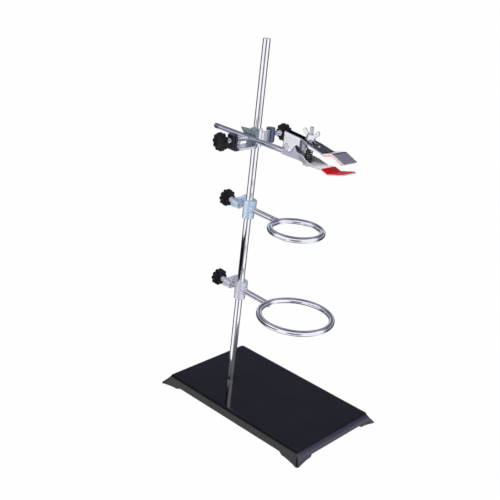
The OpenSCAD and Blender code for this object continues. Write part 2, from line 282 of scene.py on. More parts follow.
def enamel(name):
    """Black stoving enamel: deep gloss, slight orange peel, dust, rubbed edges. It stays dark
    along the rolled shoulder, and the skirt that faces along x carries a painted bluish reflection."""
    s = Shader(name)
    peel = s.noise(210.0, 2.0, 0.5)
    fine = s.noise(1900.0, 3.0, 0.6)
    dust = s.ramp(s.cells(260.0), (0.0, 1.0), (0.035, 0.0), (1.0, 0.0))
    cloud = s.noise(28.0, 4.0, 0.6)
    colour = s.mix(s.spread(cloud, 0.35, 0.7), (0.005, 0.0045, 0.0065), (0.007, 0.0065, 0.0095))
    colour = s.mix(s.math("MULTIPLY", dust, 0.25), colour, (0.2, 0.2, 0.2))
    colour = s.mix(s.math("MULTIPLY", s.edges(0.53, 0.62), 0.35), colour, (0.09, 0.085, 0.09))
    # painted reflection: the skirt that faces along x turns bluish
    colour = s.mix(s.spread(s.facing()["X"], 0.4, 0.7), colour, (0.028, 0.024, 0.044))
    shoulder = s.spread(s.at()["Z"], (base_h - 2.6) * MM, (base_h - 1.7) * MM)
    shoulder = s.math("MULTIPLY", shoulder, s.spread(s.facing()["Z"], 0.975, 0.997, 1.0, 0.0))
    roughness = s.math("ADD", s.spread(cloud, 0.3, 0.8, 0.05, 0.1), s.math("MULTIPLY", dust, 0.3))
    normal = s.bump(peel, 0.000012)
    normal = s.bump(fine, 0.0000012, normal)
    coat = s.spread(shoulder, 0.0, 1.0, 0.2, 0.0)
    gloss = s.spread(shoulder, 0.0, 1.0, 0.5, 0.06)
    return s.finish(Base_Color=colour, Roughness=roughness, IOR=1.45, Coat_Weight=coat, Coat_Roughness=0.03,
                    Specular_IOR_Level=gloss, Normal=normal)


def moulded_plastic(name):
    """Black moulded plastic: fine sparked texture, uneven gloss, slightly worn lobes."""
    s = Shader(name)
    grain = s.noise(1500.0, 4.0, 0.6)
    cloud = s.noise(160.0, 3.0, 0.6)
    colour = s.mix(s.spread(cloud, 0.35, 0.7), (0.003, 0.003, 0.0035), (0.006, 0.006, 0.0065))
    colour = s.mix(s.math("MULTIPLY", s.edges(0.51, 0.58), 0.3), colour, (0.02, 0.02, 0.022))
    roughness = s.spread(cloud, 0.3, 0.8, 0.3, 0.45)
    normal = s.bump(grain, 0.00001)
    return s.finish(Base_Color=colour, Roughness=roughness, Specular_IOR_Level=0.22, Normal=normal)


def red_vinyl(name, cut=None):
    """Red vinyl lining: fine leather-like grain, rubbed edges, slightly mottled. cut is the colour
    of a painted pale highlight along the strip's sides."""
    s = Shader(name)
    grain = s.cells(1300.0)
    cloud = s.noise(190.0, 4.0, 0.6)
    colour = s.mix(s.spread(cloud, 0.35, 0.7), (0.50, 0.001, 0.004), (0.38, 0.0005, 0.003))
    colour = s.mix(s.math("MULTIPLY", s.edges(0.51, 0.58), 0.25), colour, (0.75, 0.06, 0.07))
    roughness = s.spread(cloud, 0.3, 0.8, 0.38, 0.55)
    # painted highlight: the strip's sides turn pale
    if cut:
        sideways = s.math("ABSOLUTE", s.facing()["Y"], 0.0)
        colour = s.mix(s.spread(sideways, 0.86, 0.96), colour, cut)
    normal = s.bump(grain, 0.000003)
    return s.finish(Base_Color=colour, Roughness=roughness, Specular_IOR_Level=0.08, Normal=normal)


def black_steel(name):
    """Oil-blackened spring wire, greyer in patches."""
    s = Shader(name)
    cloud = s.noise(380.0, 5.0, 0.65)
    colour = s.mix(s.spread(cloud, 0.4, 0.75), (0.012, 0.012, 0.014), (0.06, 0.058, 0.06))
    roughness = s.spread(cloud, 0.3, 0.8, 0.25, 0.45)
    return s.finish(Base_Color=colour, Metallic=0.7, Roughness=roughness, Normal=s.bump(cloud, 0.00002))


along_clamp = (0, 0, -math.atan2(clamp_axis[1], clamp_axis[0]))
looks = {
    "black_enamel": enamel("black_enamel"),
    "chrome_rod": bright_plate("chrome_rod", (0.90, 0.91, 0.93), (0.80, 0.81, 0.84), (1.0, 1.0, 0.02)),
    "ring_chrome": bright_plate("ring_chrome", (0.84, 0.85, 0.89), (0.70, 0.71, 0.77), (0.3, 0.3, 0.3), 0.08),
    "clamp_bar": bright_plate("clamp_bar", (0.66, 0.67, 0.76), (0.50, 0.50, 0.60), (0.3, 0.3, 0.3), 0.1),
    "zinc": bright_plate("zinc", (0.80, 0.81, 0.85), (0.56, 0.56, 0.62), (1.0, 1.0, 1.0), 0.12),
    "cast_zinc": cast_plate("cast_zinc", (0.88, 0.88, 0.97), (0.78, 0.79, 0.90)),
    # the upper ring boss: a copy of cast_zinc with a painted bluish reflection
    "cast_painted_blue_reflection": cast_plate("cast_painted_blue_reflection", (0.70, 0.82, 0.95), (0.58, 0.71, 0.86)),
    # painted reflections on the boss head: dark blue behind the rod, grey-green on its side plate, near black
    # in front
    "cast_head": cast_plate("cast_head", (0.88, 0.90, 0.96), (0.74, 0.76, 0.86), 0.3, [
        (2.0, 5.0, (0.10, 0.11, 0.22)), (-13.0, -14.4, (0.26, 0.30, 0.33)),
        (-17.8, -18.6, (0.86, 0.88, 0.94)), (-39.0, -42.0, (0.03, 0.03, 0.05))]),
    "knob_plastic": moulded_plastic("knob_plastic"),
    # the upper jaw's level top faces carry a painted dark reflection
    "jaw_sheet": pressed_sheet("jaw_sheet", (0.94, 0.94, 0.96), (0.84, 0.85, 0.88), along_clamp,
                               (0.968, 0.992, (0.05, 0.05, 0.07)), 1.0),
    # painted shade: the lower jaw is a darker lilac copy of the sheet, with painted light on its level floor
    "jaw_painted_light_shade": pressed_sheet("jaw_painted_light_shade", (0.36, 0.36, 0.43), (0.29, 0.29, 0.36), along_clamp,
                               (0.6, 0.9, (0.97, 0.98, 0.97)), 0.4),
    "red_lining": red_vinyl("red_lining"),
    # the upper lining carries a painted pale highlight along its sides
    "red_painted_side_highlight": red_vinyl("red_painted_side_highlight", (0.80, 0.42, 0.44)),
    "spring_black": black_steel("spring_black"),
}

# ---------------------------------------------------------------- mesh helpers


def modified(obj, kind, **settings):
    modifier = obj.modifiers.new(kind.lower(), kind)
    for key, value in settings.items():
        setattr(modifier, key, value)


def solid_mesh(name, verts, faces, place):
    """A mesh in metres with its faces turned outward."""
    mesh = bpy.data.meshes.new(name)
    mesh.from_pydata([place @ Vector(v) for v in verts], [], faces)
    bm = bmesh.new()
    bm.from_mesh(mesh)
    bmesh.ops.remove_doubles(bm, verts=bm.verts, dist=1e-7)
    bmesh.ops.recalc_face_normals(bm, faces=bm.faces)
    bm.to_mesh(mesh)
    bm.free()
    return mesh


def made(name, verts, faces, place, body, look, stands_for, sharp):
    """A shown piece from local points, riding on a body and standing for a CAD node."""
    obj = bpy.data.objects.new(name, solid_mesh(name, verts, faces, place))
    bpy.context.scene.collection.objects.link(obj)
    dress(obj, look, sharp)
    if body:
        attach(obj, body)
    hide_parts(stands_for)
    return obj


def dress(obj, look, sharp):
    mesh = obj.data
    mesh.materials.clear()
    mesh.materials.append(looks[look])
    mesh.polygons.foreach_set("use_smooth", [True] * len(mesh.polygons))
    mesh.set_sharp_from_angle(angle=math.radians(sharp))


def rounded(points, radius, steps=5, closed=False):
    """A path whose corners are replaced by arcs; radius is one number or one per point."""
    count = len(points)
    radii = [radius] * count if isinstance(radius, (int, float)) else radius
    out = []
    for i, p in enumerate(points):
        p = Vector(p)
        if radii[i] <= 0 or (not closed and i in (0, count - 1)):
            out.append(tuple(p))
            continue
        a = Vector(points[i - 1]) - p
        b = Vector(points[(i + 1) % count]) - p
        half = a.angle(b) / 2
        if abs(half - math.pi / 2) < 0.01:
            out.append(tuple(p))
            continue
        cut = min(radii[i] / math.tan(half), a.length * 0.49, b.length * 0.49)
        start = p + a.normalized() * cut
        end = p + b.normalized() * cut
        centre = p + (a.normalized() + b.normalized()).normalized() * (cut / math.cos(half))
        u, w = start - centre, end - centre
        sweep = u.angle(w)
        for k in range(steps + 1):
            t = k / steps
            if sweep < 1e-6:
                point = start.lerp(end, t)
            else:
                point = centre + (u * math.sin((1 - t) * sweep) + w * math.sin(t * sweep)) / math.sin(sweep)
            out.append(tuple(point))
    return out


def circle(r, z, count=40):
    return [(r * math.cos(TAU * k / count), r * math.sin(TAU * k / count), z) for k in range(count)]


def lathe(profile, count, closed=False):
    """Surface of revolution about z from (radius, height) points."""
    verts, rings, faces = [], [], []
    for r, z in profile:
        if r < 1e-6:
            rings.append([len(verts)] * count)
            verts.append((0, 0, z))
        else:
            rings.append(list(range(len(verts), len(verts) + count)))
            verts += circle(r, z, count)
    pairs = list(zip(rings, rings[1:])) + ([(rings[-1], rings[0])] if closed else [])
    for a, b in pairs:
        for k in range(count):
            n = (k + 1) % count
            quad = [a[k], a[n], b[n], b[k]]
            faces.append(list(dict.fromkeys(quad)))
    return verts, [f for f in faces if len(f) > 2]


def grid(rows, wrap_rows=False, wrap_cols=True, caps=True):
    """Faces between rows of points with equal counts."""
    count = len(rows[0])
    verts = [p for row in rows for p in row]
    faces = []
    last = len(rows) if wrap_rows else len(rows) - 1
    for i in range(last):
        j = (i + 1) % len(rows)
        for k in range(count if wrap_cols else count - 1):
            n = (k + 1) % count
            faces.append([i * count + k, i * count + n, j * count + n, j * count + k])
    if caps and not wrap_rows:
        faces.append(list(range(count)))
        faces.append(list(range((len(rows) - 1) * count, len(rows) * count)))
    return verts, faces


def tube(path, radius, count, closed=False):
    """Round wire along a path, with a frame carried along it."""
    points = [Vector(p) for p in path]
    total = len(points)
    spokes = circle(radius, 0, count)
    rows = []
    side = None
    for i, p in enumerate(points):
        after = points[(i + 1) % total] if closed or i < total - 1 else p
        before = points[i - 1] if closed or i else p
        tangent = (after - before).normalized()
        if side is None:
            side = tangent.orthogonal().normalized()
        side = (side - tangent * side.dot(tangent)).normalized()
        other = tangent.cross(side)
        rows.append([tuple(p + side * a + other * b) for a, b, _ in spokes])
    return grid(rows, wrap_rows=closed)


def joined(*parts):
    """Several (points, faces) pairs as one."""
    verts, faces = [], []
    for part_verts, part_faces in parts:
        base = len(verts)
        verts += [tuple(v) for v in part_verts]
        faces += [[i + base for i in f] for f in part_faces]
    return verts, faces


def evaluated(obj, look, sharp):
    """Makes an object's modifiers permanent."""
    deps = bpy.context.evaluated_depsgraph_get()
    mesh = bpy.data.meshes.new_from_object(obj.evaluated_get(deps))
    obj.modifiers.clear()
    old = obj.data
    obj.data = mesh
    bpy.data.meshes.remove(old)
    dress(obj, look, sharp)


def casting(node, look, voxel, passes):
    """A copy of a CAD casting with its solids fused and its edges rounded, as it leaves its mould."""
    source = frame["nodes"][node]
    verts = [tuple(v.co) for v in source.data.vertices]
    faces = [list(p.vertices) for p in source.data.polygons]
    obj = made(node + "_casting", verts, faces, Matrix.Identity(4), source["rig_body"], look, node, 60)
    modified(obj, "REMESH", mode="VOXEL", voxel_size=voxel * MM)
    modified(obj, "SMOOTH", factor=0.5, iterations=passes)
    evaluated(obj, look, 60)


# ---------------------------------------------------------------- base


def base():
    """Pressed plate: flat top, rolled shoulder, and a skirt that flares out to four feet."""
    length, width = (base_high.x - base_low.x) / MM, (base_high.y - base_low.y) / MM
    corner_steps, side_steps, roll_steps = 8, 60, 8
    wall, deck = 2.5, 3.0                    # thickness of the skirt and of the top
    foot, reach = 24.4, 2.4                  # length of a foot and of the part that rests
    ogee, gap = 2.3, 4.0                     # clearance under the foot's curve and under the skirt
    curve_end, step_run = 3.0, 2.0           # where the curve ends and the step starts, before the foot's end
    flare, spill = 6.8, -0.7                 # how far in the shoulder lies, and how far out the feet
    foot_r, top_r, roll = 3.0, 3.4, 3.0      # corner radii at the feet and the shoulder, and its roll
    shoulder_z = base_h - 1.5
    ceiling = base_h - deck

    def lift(s):
        """Height of the skirt's lower edge at a distance from the corner."""
        rise = min(1.0, max(0.0, (s - reach) / (foot - reach - curve_end)))
        step = min(1.0, max(0.0, (s - foot + step_run) / step_run))
        return ogee * (1 - (1 - rise) ** 1.7) + (gap - ogee) * step * step * (3 - 2 * step)

    def loop(inset, corner, height):
        """Rounded rectangle; height is called with the distance from the nearest corner."""
        points = []
        half_l, half_w = length / 2 - inset - corner, width / 2 - inset - corner
        centres = [(half_l, half_w), (-half_l, half_w), (-half_l, -half_w), (half_l, -half_w)]
        for q, (cx, cy) in enumerate(centres):
            for k in range(corner_steps + 1):
                a = math.pi / 2 * (q + k / corner_steps)
                points.append((cx + corner * math.cos(a), cy + corner * math.sin(a), height(0.0)))
            nx, ny = centres[(q + 1) % 4]
            x, y = points[-1][:2]
            run = math.hypot(nx - cx, ny - cy)
            for k in range(1, side_steps):
                t = 0.5 - 0.5 * math.cos(math.pi * k / side_steps)
                s = min(t, 1 - t) * run + corner
                points.append((x + (nx - cx) * t, y + (ny - cy) * t, height(s)))
        return points

    def level(inset, corner, z):
        return loop(inset, corner, lambda s: z)

    def skirt(v, inward=0.0):
        """Loop on the skirt: v runs from the lower edge (0) to the shoulder (1)."""
        flat_l, flat_w = length / 2 - foot_r, width / 2 - foot_r
        points = []
        for x, y, z in loop(0, foot_r, lambda s: lift(s) + (shoulder_z - lift(s)) * v):
            # each point moves to the rounded rectangle of its own height
            rise = z / shoulder_z
            inset = spill + (flare - spill) * (1 - (1 - rise) ** 1.25) + inward
            corner = foot_r + (top_r - foot_r) * rise
            round_x = (x - max(-flat_l, min(flat_l, x))) / foot_r
            round_y = (y - max(-flat_w, min(flat_w, y))) / foot_r
            cx, cy = length / 2 - inset - corner, width / 2 - inset - corner
            px = math.copysign(cx if abs(x) > flat_l - 1e-6 else abs(x) * cx / flat_l, x)
            py = math.copysign(cy if abs(y) > flat_w - 1e-6 else abs(y) * cy / flat_w, y)
            points.append((px + round_x * corner, py + round_y * corner, z))
        return points

    # inside, from the ceiling out to the lower edge
    rows = [level(flare + 6.0, 2.0, ceiling), level(flare + wall + 0.6, 2.5, ceiling)]
    for v in (0.75, 0.5, 0.25, 0.06):
        rows.append([(x, y, min(z, ceiling)) for x, y, z in skirt(v, wall)])
    rows += [skirt(0.0, wall - 0.5), skirt(0.0, 0.5)]
    rows += [skirt(v) for v in (0.05, 0.12, 0.3, 0.5, 0.7, 0.85, 0.96)]
    # rolled shoulder up to the flat top
    for k in range(1, roll_steps + 1):
        a = math.pi / 2 * k / roll_steps
        z = shoulder_z + (base_h - shoulder_z) * math.sin(a)
        rows.append(level(flare + 0.1 + roll * (1 - math.cos(a)), top_r - 0.1 * k, z))
    rows.append(level(flare + 5.0, 2.4, base_h))
    verts, faces = grid(rows)
    made("base_enamelled_plate", verts, faces, base_at, "stand", "black_enamel", "base_plate", 50)


# ---------------------------------------------------------------- round stock


def support_rod():
    """Plain rod with an eased top, stepped down where it goes through the base."""
    r, foot_r, foot_low, steps = 4.0, 3.0, base_h - 9.2, 40
    corners = [(0, rod_top), (r, rod_top), (r, base_h), (foot_r, base_h), (foot_r, foot_low), (0, foot_low)]
    profile = rounded(corners, [0, 0.8, 0.15, 0, 0.4, 0])
    # rows along the long shaft keep its faces short
    shaft = next(i for i, (a, b) in enumerate(zip(profile, profile[1:])) if a[1] - b[1] > rod_top / 2)
    (x, upper), (_, lower) = profile[shaft:shaft + 2]
    between = [(x, upper + (lower - upper) * k / steps) for k in range(1, steps)]
    verts, faces = lathe(profile[:shaft + 1] + between + profile[shaft + 1:], 96)
    made("upright_rod", verts, faces, stand_at, "stand", "chrome_rod", "support_rod", 50)


def thread(r, low, high, pitch):
    """Rows of a threaded surface along z, fading out at both ends."""
    count, steps, depth = 40, 8, 0.54 * pitch
    crest, flank = 0.12, 0.76                # shares of half a pitch
    rows = []
    total = int((high - low) / pitch * steps)
    for i in range(total + 1):
        z = low + (high - low) * i / total
        fade = max(0.0, min(1.0, (z - low) / pitch, (high - z) / pitch))
        row = []
        for k in range(count):
            tooth = (abs(2 * ((z / pitch - k / count) % 1.0) - 1) - crest) / flank
            reach = r - depth * (1 - min(1.0, max(0.0, tooth))) * fade
            row.append((reach * math.cos(TAU * k / count), reach * math.sin(TAU * k / count), z))
        rows.append(row)
    return rows


def thumb_screw(name, node, body, place, length):
    """Drawn along z from its tip: point, thread, plain collar against the knob, end inside the knob."""
    r, collar_r, grip, pitch = 2.5, 3.0, 4.5, 0.8
    collar_low, collar_high = length - 4.0, length - 0.02
    rows = [circle(0.4, 0.0), circle(r - 0.8, 0.0), circle(r - 0.35, 0.35), circle(r - 0.12, 0.8)]
    rows += thread(r, 1.0, collar_low - 0.3, pitch)
    rows.append(circle(r, collar_low - 0.15))
    collar = [(r, collar_low), (collar_r, collar_low), (collar_r, collar_high), (r, collar_high)]
    rows += [circle(a, z) for a, z in rounded(collar, [0, 0.5, 0.35, 0], 4)]
    rows += [circle(r, length + grip - 0.4), circle(r - 0.4, length + grip)]
    verts, faces = grid(rows)
    made(name, verts, faces, place, body, "zinc", node, 50)


def star_knob(name, node, body, place):
    """Lobed knob drawn along z from the face that meets the screw's collar."""
    lobes, radius, lobe_r, core, height = 10, 9.6, 2.1, 7.9, 6.0
    back_edge, front_edge = 0.9, 1.3
    fullness = 2.2                           # how sharply the lobes part from the core
    lobe_at = radius - lobe_r
    count = lobes * 24

    def outline(a):
        off = (a + math.pi / lobes) % (TAU / lobes) - math.pi / lobes
        inside = lobe_r ** 2 - (lobe_at * math.sin(off)) ** 2
        lobe = lobe_at * math.cos(off) + math.sqrt(inside) if inside > 0 else 0.0
        return math.log(math.exp(fullness * core) + math.exp(fullness * lobe)) / fullness

    def row(share, r, inset, z):
        """A circle of radius r, turned by share into the lobed outline less an inset."""
        points = []
        for k in range(count):
            a = TAU * k / count
            reach = r * (1 - share) + (outline(a) - inset) * share
            points.append((reach * math.cos(a), reach * math.sin(a), z))
        return points

    # bore and hub at the back, then out to the lobes
    back = [(0, 2.55, 4.5), (0, 2.55, 0.35), (0, 2.9, 0), (0, 4.4, 0), (0, 4.7, 0.25), (0, 4.9, 0.8),
            (0, 5.6, 0.85), (0.25, 6.2, 0.55), (0.6, 6.9, 0.2), (0.85, 7.2, 0)]
    # a groove and a domed cap on the front
    front = [(0.8, 7.0, 5.95), (0.45, 6.4, 5.75), (0.15, 5.9, 5.75), (0, 5.4, 5.95), (0, 4.9, 6.35),
             (0, 4.2, 6.75), (0, 3.2, 7.0), (0, 2.0, 7.12), (0, 0.8, 7.18), (0, 0.05, 7.2)]
    rows = [row(share, r, 1.0, z) for share, r, z in back]
    for k in range(6):
        a = math.pi / 2 * k / 5
        rows.append(row(1, 0, back_edge * (1 - math.sin(a)), back_edge * (1 - math.cos(a))))
    rows.append(row(1, 0, -0.02, height / 2))
    for k in range(7):
        a = math.pi / 2 * k / 6
        rows.append(row(1, 0, front_edge * (1 - math.cos(a)), height - front_edge * (1 - math.sin(a))))
    rows += [row(share, r, 2.0, z) for share, r, z in front]
    verts, faces = grid(rows)
    made(name, verts, faces, place, body, "knob_plastic", node, 70)


# ---------------------------------------------------------------- support rings


def ring_wire(which, place, body):
    """Closed wire; returns how far out it starts."""
    low, high = local(place, which + "_ring")
    wire_r = (high.z - low.z) / 2
    r = (high.y - low.y) / 2 - wire_r
    out, lift = (low.x + high.x) / 2, (high.z + low.z) / 2
    path = [(out + x, y, z) for x, y, z in circle(r, lift, 160)]
    verts, faces = tube(path, wire_r, 32, closed=True)
    made(which + "_ring_wire", verts, faces, place, body, "ring_chrome", which + "_ring", 60)
    return out - r


def ring_arm(which, place, body, end):
    """Round bar that swells where it is brazed to the ring's wire at the end."""
    low, high = local(place, which + "_ring_arm")
    start, r = low.x, (high.y - low.y) / 2
    profile = [(0.0, start), (r - 0.3, start), (r, start + 0.3)]
    profile += [(r, start + (end - start) * k / 12) for k in range(1, 10)]
    swelling = [(0, 4.6), (0.1, 3.9), (0.25, 3.1), (0.2, 2.2), (-0.3, 1.0), (-1.3, 0.2)]
    profile += [(r + out, end - back) for out, back in swelling] + [(1.0, end), (0.0, end)]
    verts, faces = lathe(profile, 48)
    along = turned_to(place, (0, 0, 0), (1, 0, 0))
    made(which + "_ring_arm_bar", verts, faces, along, body, "ring_chrome", which + "_ring_arm", 60)


def ring_set(which):
    """A ring with its arm, boss, screw and knob."""
    place = ring_at(which)
    body = which + "_ring_clamp"
    ring_arm(which, place, body, ring_wire(which, place, body))
    # the upper boss carries a painted bluish reflection that the lower one lacks
    casting(which + "_ring_boss", "cast_painted_blue_reflection" if which == "upper" else "cast_zinc", 0.3, 5)
    screw_low, screw_high = local(place, which + "_ring_screw")
    knob_face = local(place, which + "_ring_knob")[1].x
    z = (screw_low.z + screw_high.z) / 2
    tip = turned_to(place, (screw_high.x, 0, z), (-1, 0, 0))
    seat = turned_to(place, (knob_face, 0, z), (-1, 0, 0))
    screw, knob = which + "_ring_screw", which + "_ring_knob"
    thumb_screw(which + "_ring_thumb_screw", screw, screw + "_body", tip, screw_high.x - knob_face)
    star_knob(which + "_ring_star_knob", knob, knob + "_body", seat)


# ---------------------------------------------------------------- boss head


def boss_head():
    """The cross clamp with its two screws and knobs, one pair for each rod."""
    casting("boss_head_body", "cast_head", 0.32, 5)
    for which, sign in (("rod", 1), ("arm", -1)):
        near = 0 if sign > 0 else 1
        screw, knob = which + "_grip_screw", which + "_grip_knob"
        screw_box, knob_face = local(boss_at, screw), local(boss_at, knob)[near].y
        point = screw_box[near].y
        z = (screw_box[0].z + screw_box[1].z) / 2
        tip = turned_to(boss_at, (0, point, z), (0, sign, 0))
        seat = turned_to(boss_at, (0, knob_face, z), (0, sign, 0))
        thumb_screw(which + "_grip_thumb_screw", screw, screw + "_body", tip, abs(knob_face - point))
        star_knob(which + "_grip_star_knob", knob, knob + "_body", seat)


# ---------------------------------------------------------------- flask clamp


# Clamp pieces are drawn with u along the clamp rod, v across it and z up, from the rod's middle.
PIN_U, PIN_Z, BOLT_U = 58.4, 7.4, 84.3
LOW_PATH = [(52, -3), (91, -3), (111, -1.8), (119.3, -4.4), (138, 0.4)]
UP_PATH = [(53.5, 21.6), (82, 19.3), (109, 14), (122, 17.3), (136.6, 11.4)]
bolt_at = clamp_at @ Matrix.Translation((BOLT_U, 0, 0))


def clamp_rod():
    low, high = local(clamp_at, "clamp_rod")
    r, ease = (high.z - low.z) / 2, 0.5
    profile = [(0.0, low.x), (r - ease, low.x), (r - 0.15, low.x + 0.15)]
    profile += [(r, low.x + ease + (high.x - low.x - 2 * ease) * k / 16) for k in range(16)]
    profile += [(r, high.x - 0.4), (r - 0.4, high.x), (0.0, high.x)]
    verts, faces = lathe(profile, 64)
    along = turned_to(clamp_at, (0, 0, 0), (1, 0, 0))
    made("clamp_rod_bar", verts, faces, along, "clamp_arm", "clamp_bar", "clamp_rod", 50)


def at_on(path, u):
    """Height on a path of (u, z) points."""
    if u <= path[0][0]:
        return path[0][1]
    for a, b in zip(path, path[1:]):
        if u <= b[0]:
            return a[1] + (b[1] - a[1]) * (u - a[0]) / (b[0] - a[0])
    return path[-1][1]


def stations(path, step):
    """Distances along u that keep every corner of the path and fill in between."""
    out = []
    for a, b in zip(path, path[1:]):
        count = max(1, math.ceil((b[0] - a[0]) / step))
        out += [a[0] + (b[0] - a[0]) * k / count for k in range(count)]
    return out + [path[-1][0]]


def jaw_half(narrow, u):
    """Half width of a jaw: narrow at the rivet, flaring to the tip."""
    tip, start, run = 10.0, 75.0, 17.0
    t = min(1.0, max(0.0, (u - start) / run))
    return narrow + (tip - narrow) * t * t * (3 - 2 * t)


def jaw_sheet(path, edge, narrow, up):
    """Folded channel: a web along the path with side walls that reach the edge outline.
    up is 1 when the walls rise from the web, -1 when they hang from it."""
    fold_r, bend_r = 1.6, 5.0
    wall_steps, fold_steps, web_steps = 7, 5, 10
    web = rounded(path, [0] + [bend_r] * (len(path) - 2) + [0], 6)
    outline = rounded(edge, 1.2)
    first, last = web[0][0], web[-1][0]
    us = stations(web, 0.8) + [u for u, _ in outline if first <= u <= last]
    rows = []
    for u in sorted({round(u, 3) for u in us}):
        half, z = jaw_half(narrow, u), at_on(web, u)
        wall = 0.0 if u > outline[-1][0] else max(0.0, (at_on(outline, u) - z) * up)
        fold = min(fold_r, wall)
        inner = half - fold
        right = [(half, fold + (wall - fold) * (1 - k / (wall_steps - 1))) for k in range(wall_steps)]
        for k in range(1, fold_steps + 1):
            a = math.pi / 2 * k / fold_steps
            right.append((inner + fold * math.cos(a), fold - fold * math.sin(a)))
        level = [(inner * (2 * k / web_steps - 1), 0.0) for k in range(1, web_steps)]
        row = [(-v, rise) for v, rise in right] + level + right[::-1]
        rows.append([(u, v, z + up * rise) for v, rise in row])
    return grid(rows, wrap_cols=False, caps=False)


def pressing(obj, look, holes):
    """Gives a folded sheet its thickness, cuts its holes and eases its edges."""
    thick, ease = 1.0 * MM, 0.1 * MM
    back = clamp_at.inverted()
    turn = back.to_3x3().normalized()
    outward = sum((turn @ p.normal).y * (back @ p.center).y * p.area for p in obj.data.polygons)
    if outward < 0:
        obj.data.flip_normals()
    modified(obj, "SOLIDIFY", thickness=thick, offset=-1, use_even_offset=True)
    evaluated(obj, look, 35)
    mesh = solid_mesh("holes", *joined(*holes), clamp_at)
    cutter = bpy.data.objects.new("holes", mesh)
    bpy.context.scene.collection.objects.link(cutter)
    modified(obj, "BOOLEAN", object=cutter, solver="EXACT")
    modified(obj, "BEVEL", width=ease, segments=2, limit_method="ANGLE", angle_limit=math.radians(50))
    evaluated(obj, look, 35)
    bpy.data.objects.remove(cutter)
    bpy.data.meshes.remove(mesh)


def prism(outline, low, high):
    """Upright block over a closed outline."""
    return grid([[(x, y, low) for x, y in outline], [(x, y, high) for x, y in outline]])


def jaws():
    """Both jaws, pressed from sheet: the upper one hangs over the lower one at the rivet."""
    low_edge = [(52, 6), (54, 10.6), (57, 12.2), (62, 12.2), (68, 10.4), (72, 4.6), (84, 3.6), (93, 1.2),
                (108, -2.4)]
    up_edge = [(53.5, 5.4), (56.2, 2.8), (61.4, 2.6), (65, 4.2), (67.6, 9), (71.2, 12), (75, 10.6), (78, 8.6),
               (85.8, 7.8), (89, 15.0), (98, 13.4), (108, 12.6), (109.5, 14)]
    low_half, up_half = 4.1, 5.3
    pin_r, bolt_r, reach = 1.65, 2.05, 20
    pin = grid([[(PIN_U + x, v, PIN_Z + y) for x, y, _ in circle(pin_r, 0, 32)] for v in (-reach, reach)])
    bore = prism([(BOLT_U + x, y) for x, y, _ in circle(bolt_r, 0, 32)], -10, 0)
    slot_low, slot_high, slot_half = BOLT_U - 3.6, BOLT_U + 13, 3.1
    corners = [(slot_low, -slot_half), (slot_high, -slot_half), (slot_high, slot_half), (slot_low, slot_half)]
    slot = prism(rounded(corners, slot_half - 0.2, 8, closed=True), 12, 30)
    verts, faces = jaw_sheet(LOW_PATH, low_edge, low_half, 1)
    lower = made("lower_jaw_pressing", verts, faces, clamp_at, "clamp_jaws", "jaw_painted_light_shade", "lower_jaw", 50)
    pressing(lower, "jaw_painted_light_shade", [pin, bore])
    verts, faces = jaw_sheet(UP_PATH, up_edge, up_half, -1)
    upper = made("upper_jaw_pressing", verts, faces, clamp_at, "upper_jaw_body", "jaw_sheet", "upper_jaw", 50)
    pressing(upper, "jaw_sheet", [pin, slot])


def lining(which, body, look, path, start, end, lift):
    """Padded vinyl strip with soft edges that follows the jaw's tip, lifted off its web."""
    half, thick, edge_r, steps = 9.95, 1.0, 0.62, 52
    tuck_run, tuck_depth = 0.6, 0.55         # how the strip thins at its ends
    soft = rounded(path, [0] + [2.5] * (len(path) - 2) + [0])
    rows = []
    for i in range(steps + 1):
        u = start + (end - start) * i / steps
        tuck = tuck_depth * (1 - min(1.0, (u - start) / tuck_run, (end - u) / tuck_run)) ** 2
        h, t = half - tuck, thick - tuck
        section = rounded([(-h, -t), (h, -t), (h, t), (-h, t)], edge_r, 4, closed=True)
        rows.append([(u, v, at_on(soft, u) + lift + w) for v, w in section])
    verts, faces = grid(rows)
    made(which + "_vinyl_lining", verts, faces, clamp_at, body, look, which + "_jaw_lining", 75)


def rivet():
    """Hollow-ended rivet, the same at both sides of the jaws."""
    head = [(0, 5.1), (0.85, 5.2), (1.0, 6.0), (1.3, 6.2), (1.7, 6.35), (2.2, 6.32), (2.65, 6.05),
            (2.88, 5.7), (2.88, 5.5), (1.6, 5.42)]
    profile = [(r, -z) for r, z in head] + [(r, z) for r, z in reversed(head)]
    verts, faces = lathe(profile, 40)
    across = turned_to(clamp_at, (PIN_U, 0, PIN_Z), (0, 1, 0))
    made("jaw_rivet", verts, faces, across, "clamp_jaws", "zinc", "jaw_hinge_pin", 50)


def bolt():
    """Bolt with a domed head under the lower jaw."""
    r, pitch = 2.0, 0.7
    top = local(clamp_at, "jaw_bolt")[1].z
    dome = [(0.02, -6.6), (1.5, -6.5), (2.8, -6.15), (3.8, -5.6), (4.4, -4.9), (4.58, -4.4), (4.5, -4.06),
            (r, -4.04)]
    rows = [circle(a, z) for a, z in dome]
    rows += thread(r, -3.9, top - 0.7, pitch)
    rows += [circle(r - 0.1, top - 0.5), circle(r - 0.6, top)]
    verts, faces = grid(rows)
    made("jaw_bolt_threaded", verts, faces, bolt_at, "clamp_jaws", "zinc", "jaw_bolt", 50)


